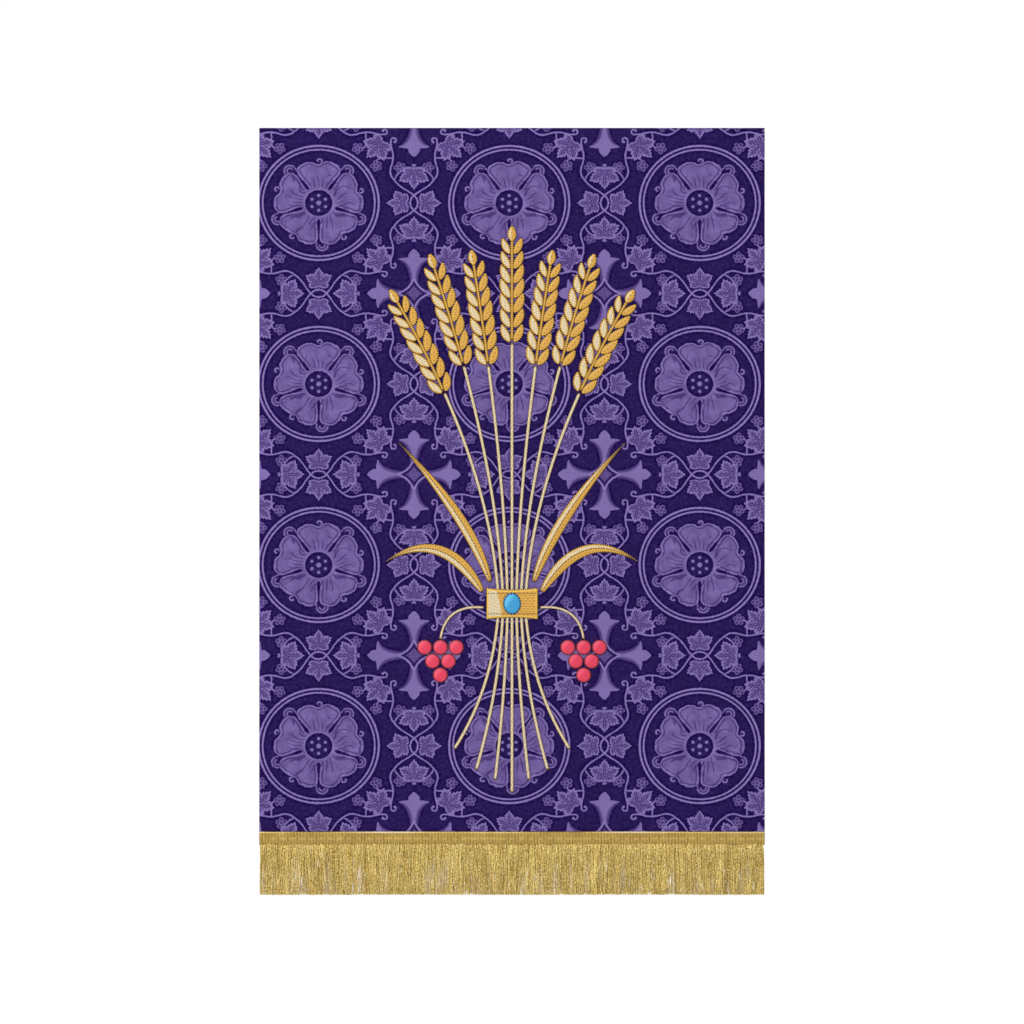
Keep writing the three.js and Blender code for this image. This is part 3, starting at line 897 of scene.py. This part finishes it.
def padded_round(bm, x, z, width, height, rise, lift=0.0):
    """A round or oval worked over a pad: a domed face with a flat back, following the cloth."""
    uv = bm.loops.layers.uv.verify()
    rim_layer = bm.verts.layers.float.new("rim")
    tone_layer = bm.verts.layers.float.new("tone")
    made = bmesh.ops.create_uvsphere(bm, u_segments=40, v_segments=20, radius=1.0)["verts"]
    flat = {}
    for vert in made:
        out, up = vert.co.to_2d(), max(0.0, vert.co.z)
        flat[vert] = out
        px, pz = x + out.x * width / 2, z + out.y * height / 2
        vert[rim_layer] = (1 - out.length) * width / 2
        # Painted highlight: the upper left of each round, towards the lamp, takes the paler fill
        vert[tone_layer] = 0.3 - 0.5 * out.x + 0.4 * out.y
        vert.co = over_cloth(px, pz, lift + rise * up ** 0.8)
    for face in {face for vert in made for face in vert.link_faces}:
        for loop in face.loops:
            out = flat[loop.vert]
            loop[uv].uv = (out.y * height / 2, out.x * width / 2)


def blue_stone():
    bm = bmesh.new()
    on_tie = STEM_RISE + TIE_RISE + 2 * SEWN_GAP
    padded_round(bm, 0, TIE_Z, STONE_WIDTH, STONE_HEIGHT, STONE_RISE, lift=on_tie)
    piece = new_piece("satin_stone", bm, [blue_thread])
    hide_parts("blue_stone")


tie_band()
blue_stone()


# The grapes: a small bunch on each side, six rounds in red thread worked over pads, hung from the tie by
# a stalk of cream satin stitch.

BERRY_WIDTH = 0.0154
BERRY_RISE = 0.002
BUNCH_X, BUNCH_Z = 0.072, -0.522
BERRY_PITCH, ROW_DROP = 0.0159, 0.0139
STALK_WIDTH = 0.0026
# The pale red fill is a lighter copy of the red, used as a painted highlight on each grape
RED_FILLS = (0xD0334F, 0xC42C48, 0xDC506A, 0xD0334F)

red_thread = thread("red_thread", RED_FILLS, 0xB82A42, DARK_STITCH, **ROUND_WORK)


def grapes(side):
    mirror = SIGN[side]
    number = 0
    for row, count in enumerate((3, 2, 1)):
        for i in range(count):
            number += 1
            bm = bmesh.new()
            x = mirror * (BUNCH_X + (i - (count - 1) / 2) * BERRY_PITCH)
            padded_round(bm, x, BUNCH_Z - row * ROW_DROP, BERRY_WIDTH, BERRY_WIDTH, BERRY_RISE)
            piece = new_piece(f"red_grape_{side}_{number}", bm, [red_thread])
            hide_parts(f"grape_{side}_{number}")
    foot = BUNCH_Z + BERRY_WIDTH / 2 + SEWN_GAP
    course = Course(bent((mirror * 0.0278, -0.482), (mirror * 0.067, -0.478), (mirror * BUNCH_X, foot)))
    bm = bmesh.new()
    stitch(bm, course, lambda along: STALK_WIDTH / 2, STEM_RISE, rows=30, columns=8, tone=all_pale)
    piece = new_piece(f"satin_stalk_{side}", bm, [cream_thread])
    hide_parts(f"bunch_stalk_{side}")


for side in ("left", "right"):
    grapes(side)


# The fringe: a woven heading sewn on the face over the hem, and fine twisted metallic threads that hang
# from it, close at the top and parting into uneven locks lower down.

FRINGE_TOP = -0.707
HEADING_HEIGHT = 0.0135
HEADING_THICKNESS = 0.0018
FRINGE_BOTTOM = -0.771
THREADS = 3600
THREAD_WIDTH = 0.00076
THREAD_SIDES = 3
THREAD_ROWS = (0.0, 0.02, 0.2, 0.38, 0.56, 0.73, 0.88, 0.985, 1.0)
BACK_RANK = 3
LOCKS = 64
LOCK_LEAN, THREAD_LEAN = 0.0036, 0.0019
PARTINGS = 58
PARTING_REACH = 0.004
# How far from a parting the painted gap light reaches
PALE_REACH = 0.0022
PARTED_SHARE = 0.85


def metallic(name, painted_highlight, light, deep, sparkle):
    """Gold-wrapped thread: many small facets that catch the light or lose it, painted into its colour as
    glints and darker specks.
    """
    material, tree, shader = new_material(name)
    x, _, z = apart(tree.nodes.new("ShaderNodeTexCoord").outputs["Object"])
    glint = noise(together(x * 680, z * 560), 1.0, 1.0)
    patch = noise(together(x * 90, z * 60), 1.0, 1.0)
    # Painted highlights: the glint noise lightens and darkens the colour, and past one it turns to the
    # painted highlight colour
    amount = measure(tree, "tone") + (glint - 0.5) * sparkle + (patch - 0.5) * 0.6
    gilt = tint(tree, amount - 1, tint(tree, amount, deep, light), painted_highlight)
    # Painted light: threads beside a parting are tinted pale, standing in for the bright room seen through
    # the gap
    dyed = tint(tree, measure(tree, "painted_gap_light") * 0.75, gilt, 0xE0D0B4)
    tree.links.new(dyed, shader.inputs["Base Color"])
    raise_threads(shader, glint * 0.5, 0.5)
    shader.inputs["Metallic"].default_value = 0.4
    shader.inputs["Roughness"].default_value = 0.42
    shader.inputs["Specular IOR Level"].default_value = 0.3
    return material


def fringe_heading():
    ribs, rows = 158, 14
    columns = ribs * 5
    bars, bar_at, bar_half_height = 53, 0.54, 0.07
    bm = bmesh.new()
    tone_layer = bm.verts.layers.float.new("tone")
    for back in (False, True):
        made = bmesh.ops.create_grid(bm, x_segments=columns, y_segments=rows, size=0.5)["verts"]
        for vert in made:
            across, down = vert.co.x + 0.5, 0.5 - vert.co.y
            rib = abs(math.sin(math.pi * across * ribs)) ** 0.7
            number, place = divmod(across * bars, 1)
            bar_length = 0.14 + 0.26 * abs(math.sin(number * 12.9))
            bar = min(1.0, max(0.0, 1.6 - abs(down - bar_at) / bar_half_height))
            if abs(place - 0.5) >= bar_length:
                bar = 0.0
            # A raised lip along the top edge, also painted with a pale highlight line
            lip_and_painted_highlight = 0.5 + 0.5 * math.sin(across * 19 + 3) * math.sin(across * 7) if down < 0.1 else 0.0
            fray = 0.35 + 0.25 * math.sin(across * 431) * math.sin(across * 157)
            worn = smooth((down - 0.84) / 0.16) * fray
            relief = HEADING_THICKNESS * (0.6 + 0.4 * max(rib * 0.8, bar, lip_and_painted_highlight)) * (1 - worn)
            x, z = vert.co.x * CLOTH_WIDTH, FRINGE_TOP - down * HEADING_HEIGHT
            # Painted shade: the heading is darker in the grooves between ribs and lighter on the raised
            # ribs and bars
            vert[tone_layer] = max(2.2 * lip_and_painted_highlight, 0.02 + 0.43 * rib * (1 - bar) + 0.54 * bar)
            vert.co = over_cloth(x, z, 0.0 if back or vert.is_boundary else relief)
        if back:
            bmesh.ops.reverse_faces(bm, faces=list({face for vert in made for face in vert.link_faces}))
    bmesh.ops.remove_doubles(bm, verts=[v for v in bm.verts if v.is_boundary], dist=1e-7)
    # The first colour is the painted highlight of the glints and of the lip
    gilt = metallic("heading_gold", 0xE6D6B4, 0xD0B264, 0x866A2A, 0.8)
    piece = new_piece("fringe_heading", bm, [gilt])
    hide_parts("gold_fringe")
    return piece


Parting = namedtuple("Parting", "at opens_at closes_at half_width")
Strand = namedtuple("Strand", "root lean depth short tone turn gives beside")


def hanging_threads(rng):
    """The threads as they hang: a straight rank at the back, and before it locks that lean and part."""
    half = CLOTH_WIDTH / 2 - 0.0012
    leans = [rng.gauss(0, LOCK_LEAN) for _ in range(LOCKS + 2)]
    leans[0] = leans[LOCKS] = 0.0
    partings = []
    for _ in range(PARTINGS):
        opens_at = rng.uniform(0.25, 0.75)
        closes_at = opens_at + rng.uniform(0.5, 1.0)
        partings.append(Parting(rng.uniform(-half, half), opens_at, closes_at, rng.uniform(0.0005, 0.0012)))
    strands = []
    for number in range(THREADS):
        root = -half + 2 * half * (number + rng.random()) / THREADS
        lock, share = divmod((root + half) / (2 * half) * LOCKS, 1)
        share = smooth(share)
        lean = leans[int(lock)] * (1 - share) + leans[int(lock) + 1] * share + rng.gauss(0, THREAD_LEAN)
        depth, short = rng.uniform(0.0002, 0.0021), rng.random() ** 3 * 0.002
        tone, turn = rng.uniform(0.3, 0.7), rng.uniform(0, 2 * math.pi)
        near = [parting for parting in partings if abs(parting.at - root) < PARTING_REACH]
        beside = [parting for parting in near if rng.random() < PARTED_SHARE]
        if number % BACK_RANK == 0:
            strands.append(Strand(root, lean * 0.15, depth * 0.25, short, tone, turn, 0.0, beside))
        else:
            strands.append(Strand(root, lean, depth, short, tone, turn, 1.0, beside))
    return strands


def thread_place(strand, down):
    """Where the middle of a thread lies at a share of its drop, and how much painted light from a parting
    beside it it takes there.
    """
    painted_gap_light = 0.0
    x = strand.root + strand.lean * down + 0.0005 * math.sin(strand.turn + 9 * down)
    for parting in strand.beside:
        aside = strand.root - parting.at
        opened = min(1.0, max(0.0, (down - parting.opens_at) / (parting.closes_at - parting.opens_at)))
        open_share = math.sin(math.pi * opened)
        push = parting.half_width * open_share * (1 - abs(aside) / PARTING_REACH)
        x += strand.gives * math.copysign(push, aside)
        painted_gap_light = max(painted_gap_light, open_share * max(0.0, 1 - abs(aside) / PALE_REACH))
    top = FRINGE_TOP - HEADING_HEIGHT + 0.0012 + 0.0009 * math.sin(strand.turn * 5)
    z = top + (FRINGE_BOTTOM + 0.0001 + strand.short - top) * down
    sway = 0.0004 * math.sin(strand.turn * 3) * down
    y = over_cloth(strand.root, FRINGE_TOP - HEADING_HEIGHT, strand.depth + sway).y
    limit = CLOTH_WIDTH / 2 - THREAD_WIDTH
    return Vector((max(-limit, min(limit, x)), y, z)), painted_gap_light


def fringe_threads():
    rows, columns = len(THREAD_ROWS) - 1, THREAD_SIDES + 1
    strands = hanging_threads(random.Random(7))
    bm = bmesh.new()
    tone_layer = bm.verts.layers.float.new("tone")
    gap_light_layer = bm.verts.layers.float.new("painted_gap_light")
    strip = THREADS * columns - 1
    bmesh.ops.create_grid(bm, x_segments=strip, y_segments=rows, size=0.5)
    numbered = [(int((face.calc_center_median().x + 0.5) * strip), face) for face in bm.faces]
    between = [face for number, face in numbered if number % columns == THREAD_SIDES]
    bmesh.ops.delete(bm, geom=between, context="FACES")
    middles = {}
    for vert in bm.verts:
        number, corner = divmod(round((vert.co.x + 0.5) * strip), columns)
        row = round((0.5 - vert.co.y) * rows)
        strand = strands[number]
        if (number, row) not in middles:
            middles[number, row] = thread_place(strand, THREAD_ROWS[row])
        turn = strand.turn + 2 * math.pi * (corner % THREAD_SIDES) / THREAD_SIDES
        thick = THREAD_WIDTH / 2 if 0 < row < rows else 0.0
        middle, vert[gap_light_layer] = middles[number, row]
        vert[tone_layer] = strand.tone
        vert.co = middle + Vector((math.cos(turn), math.sin(turn), 0)) * thick
    bmesh.ops.remove_doubles(bm, verts=bm.verts[:], dist=1e-7)
    bmesh.ops.recalc_face_normals(bm, faces=bm.faces[:])
    # The first colour is the painted highlight of the glints
    gilt = metallic("thread_gold", 0xFFEFC1, 0xFFEA9A, 0xB08D37, 2.3)
    piece = new_piece("fringe_threads", bm, [gilt])
    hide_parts("gold_fringe")
    return piece


heading = fringe_heading()
threads = fringe_threads()


# The studio: an even white room, a pale floor well below the fall, one broad soft light from the upper
# left, and a long lens square on to the face.

IMAGE_METRES = 1.0293
CAMERA_DISTANCE = 6.0
MIDDLE_Z = -0.386
FLOOR_Z, FLOOR_RADIUS = -1.1, 2.1
KEY_PLACE = (-2.0, -2.2, 1.6)


def studio():
    scene = bpy.context.scene
    scene.view_settings.view_transform = "Standard"
    world = bpy.data.worlds.new("white_room")
    world.use_nodes = True
    white = world.node_tree.nodes["Background"]
    white.inputs["Color"].default_value = (1, 1, 1, 1)
    white.inputs["Strength"].default_value = 1.0
    scene.world = world

    bm = bmesh.new()
    bmesh.ops.create_circle(bm, cap_ends=True, segments=96, radius=FLOOR_RADIUS)
    bmesh.ops.translate(bm, verts=bm.verts[:], vec=(0, 0, FLOOR_Z))
    mesh = bpy.data.meshes.new("floor")
    bm.to_mesh(mesh)
    bm.free()
    matt, _, shader = new_material("pale_floor")
    shader.inputs["Base Color"].default_value = colour(0xEDEDED)
    shader.inputs["Roughness"].default_value = 0.9
    mesh.materials.append(matt)
    floor = bpy.data.objects.new("floor", mesh)
    scene.collection.objects.link(floor)

    lamp = bpy.data.lights.new("soft_key", "AREA")
    lamp.shape = "DISK"
    lamp.size = 1.2
    lamp.energy = 60
    key = bpy.data.objects.new("soft_key", lamp)
    key.location = KEY_PLACE
    key.rotation_euler = (Vector((0, 0, MIDDLE_Z)) - key.location).to_track_quat("-Z", "Y").to_euler()
    scene.collection.objects.link(key)

    lens = bpy.data.cameras.new("camera")
    lens.sensor_width = 36
    lens.lens = lens.sensor_width * CAMERA_DISTANCE / IMAGE_METRES
    camera = bpy.data.objects.new("camera", lens)
    camera.location = (0, -CAMERA_DISTANCE, MIDDLE_Z)
    camera.rotation_euler = (math.pi / 2, 0, 0)
    scene.collection.objects.link(camera)
    scene.camera = camera


studio()
